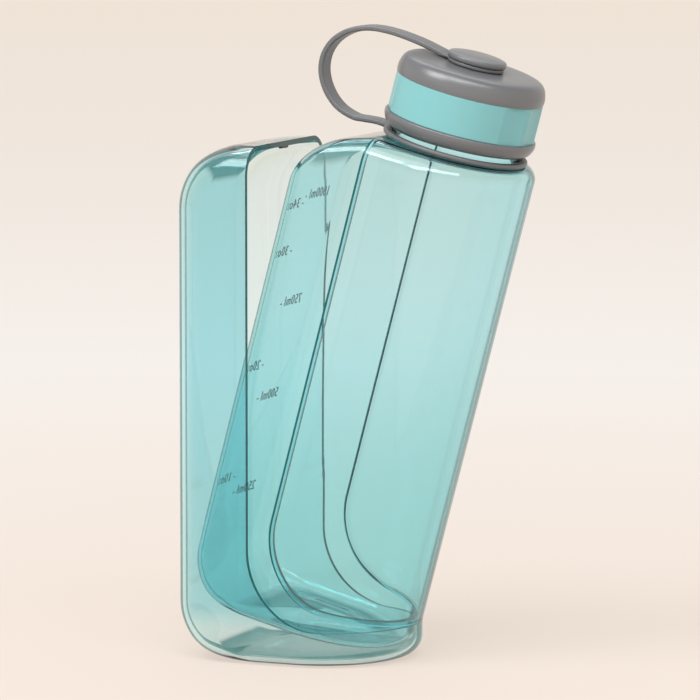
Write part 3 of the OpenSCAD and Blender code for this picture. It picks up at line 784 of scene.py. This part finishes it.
def build_tether():
    """Ring, strap and eye as the one soft moulding that they are."""
    mid, r_mid = RING_Z + RING_H / 2, (RING_IN + RING_R - RING_SLIM) / 2
    ring = [(r_mid + a, mid + b) for a, b in rounded(RING_W - RING_SLIM, RING_H, 0.95, 6)]
    hole, e_mid = STEM_R + 2 * TURN_GAP, EYE_Z + EYE_H / 2
    eye = [((hole + EYE_R) / 2 + a, e_mid + b) for a, b in rounded(EYE_R - hole, EYE_H, 0.45)]
    verts, faces = [], []
    for v, f in (strap_solid(), hoop_solid(ring, 220), hoop_solid(eye, 140)):
        faces += [tuple(i + len(verts) for i in q) for q in f]
        verts += v
    o = mesh("tether", verts, faces, "", tether_mat, leaned=True)
    rm = o.modifiers.new("fuse", "REMESH")
    rm.mode, rm.voxel_size, rm.adaptivity = "VOXEL", FUSE_VOXEL, 0.0
    sm = o.modifiers.new("soften", "SMOOTH")
    sm.factor, sm.iterations = SOFTEN, SOFTEN_TIMES
    depth = bpy.context.evaluated_depsgraph_get()
    fused = bpy.data.meshes.new_from_object(o.evaluated_get(depth))
    bpy.data.objects.remove(o)
    for p in fused.polygons:
        p.use_smooth = True
    fused.materials.clear()
    fused.materials.append(tether_mat)
    tether = bpy.data.objects.new("tether_moulding", fused)
    bpy.context.collection.objects.link(tether)
    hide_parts("tether_eye", "tether_strap", "tether_ring")
    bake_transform(tether)


build_bowl()
build_bottle()
build_thread()
build_catch()
build_marks()
build_cap()
build_tether()


# ---------------------------------------------------------------- floor, background, lights
FLOOR_SIZE, FLOOR_Z, TONE_REACH = 16, -0.0002, 5.0
# the floor's colour by its distance from the object, as a share of TONE_REACH
FLOOR_TONES = [(0.0, (0.92, 0.80, 0.71)), (0.04, (0.925, 0.815, 0.73)), (0.2, (0.978, 0.925, 0.88)),
               (0.45, (0.985, 0.905, 0.83)), (0.9, (1.0, 0.89, 0.785))]
FLOOR_DIM, FLOOR_GLOW, GLOW_SHARE = (0.66, 0.66, 0.66, 1), 1.12, 0.62
# the world's colour by the height of a ray
SKY_TONES = [(0.0, (0.905, 0.80, 0.71)), (0.25, (0.86, 0.80, 0.74)), (0.6, (0.40, 0.40, 0.40)),
             (1.0, (0.30, 0.31, 0.32))]
# name, azimuth, elevation, distance, face and power of each softbox
SOFTBOXES = [("key", -56, 47, 1.8, (0.9, 0.8), 15), ("front", 10, 50, 1.8, (1.5, 0.4), 12),
             ("back", 175, 52, 2.0, (1.4, 0.7), 5)]
AIM_AT, CAMERA_SIDE, SUN_SPREAD = Vector((0.02, 0, 0.14)), -66.9, 40


def pale_rays(nt):
    """1 for rays that show the background straight, through the plastic or mirrored in it."""
    lp = node(nt, "ShaderNodeLightPath")
    return largest(nt, [lp.outputs[kind] for kind in
                        ("Is Camera Ray", "Is Transmission Ray", "Is Glossy Ray")])


def build_floor():
    """A wide pale floor, which is the background too; rays that show it see part of it glow."""
    bpy.ops.mesh.primitive_plane_add(size=FLOOR_SIZE, location=(0, 0, FLOOR_Z))
    floor = bpy.context.object
    floor.name = "floor"
    m, nt, p = new_mat("floor_pale")
    co = node(nt, "ShaderNodeTexCoord")
    far = node(nt, "ShaderNodeVectorMath", operation="LENGTH")
    nt.links.new(co.outputs["Object"], far.inputs[0])
    scaled = node(nt, "ShaderNodeMapRange", **{"From Max": TONE_REACH})
    nt.links.new(far.outputs["Value"], scaled.inputs["Value"])
    tone = ramp(nt, scaled.outputs["Result"], FLOOR_TONES, "LINEAR")
    dim = multiplied(nt, tone)
    dim.inputs[MIX_B].default_value = FLOOR_DIM
    nt.links.new(dim.outputs[MIX_OUT], p.inputs["Base Color"])
    p.inputs["Roughness"].default_value = 0.7
    p.inputs["Specular IOR Level"].default_value = 0.1
    glow = node(nt, "ShaderNodeEmission", Strength=FLOOR_GLOW)
    nt.links.new(tone, glow.inputs["Color"])
    share = node(nt, "ShaderNodeMath", operation="MULTIPLY")
    nt.links.new(pale_rays(nt), share.inputs[0])
    share.inputs[1].default_value = GLOW_SHARE
    both = node(nt, "ShaderNodeMixShader")
    nt.links.new(share.outputs[0], both.inputs["Fac"])
    nt.links.new(p.outputs[0], both.inputs[1])
    nt.links.new(glow.outputs[0], both.inputs[2])
    nt.links.new(both.outputs[0], nt.nodes["Material Output"].inputs["Surface"])
    floor.data.materials.append(m)


def build_world():
    """A pale horizon under a duller sky."""
    world = bpy.data.worlds.new("world")
    scene.world = world
    world.use_nodes = True
    nt = world.node_tree
    bg = nt.nodes["Background"]
    co = node(nt, "ShaderNodeTexCoord")
    xyz = node(nt, "ShaderNodeSeparateXYZ")
    nt.links.new(co.outputs["Generated"], xyz.inputs[0])
    nt.links.new(ramp(nt, xyz.outputs["Z"], SKY_TONES), bg.inputs["Color"])
    bg.inputs["Strength"].default_value = 1.0


def aim(o, azimuth, elevation, distance):
    """Puts a lamp round the object; azimuth 0 is the camera's side and plus is to its right."""
    a, e = math.radians(azimuth + CAMERA_SIDE), math.radians(elevation)
    away = Vector((math.cos(e) * math.cos(a), math.cos(e) * math.sin(a), math.sin(e)))
    o.location = AIM_AT + distance * away
    o.rotation_euler = (AIM_AT - o.location).to_track_quat("-Z", "Y").to_euler()
    bpy.context.collection.objects.link(o)


def sun(name, azimuth, elevation, strength):
    """A soft even light that reaches the whole floor alike."""
    d = bpy.data.lights.new(name, "SUN")
    d.energy = strength
    d.angle = math.radians(SUN_SPREAD)
    aim(bpy.data.objects.new(name, d), azimuth, elevation, 3.0)


def softbox(name, azimuth, elevation, distance, size, power):
    """A soft light with a rectangular face."""
    d = bpy.data.lights.new(name, "AREA")
    d.shape = "RECTANGLE"
    d.size, d.size_y = size
    d.energy = power
    aim(bpy.data.objects.new(name, d), azimuth, elevation, distance)


build_floor()
build_world()
for values in SOFTBOXES:
    softbox(*values)
sun("overhead", -20, 62, 0.75)
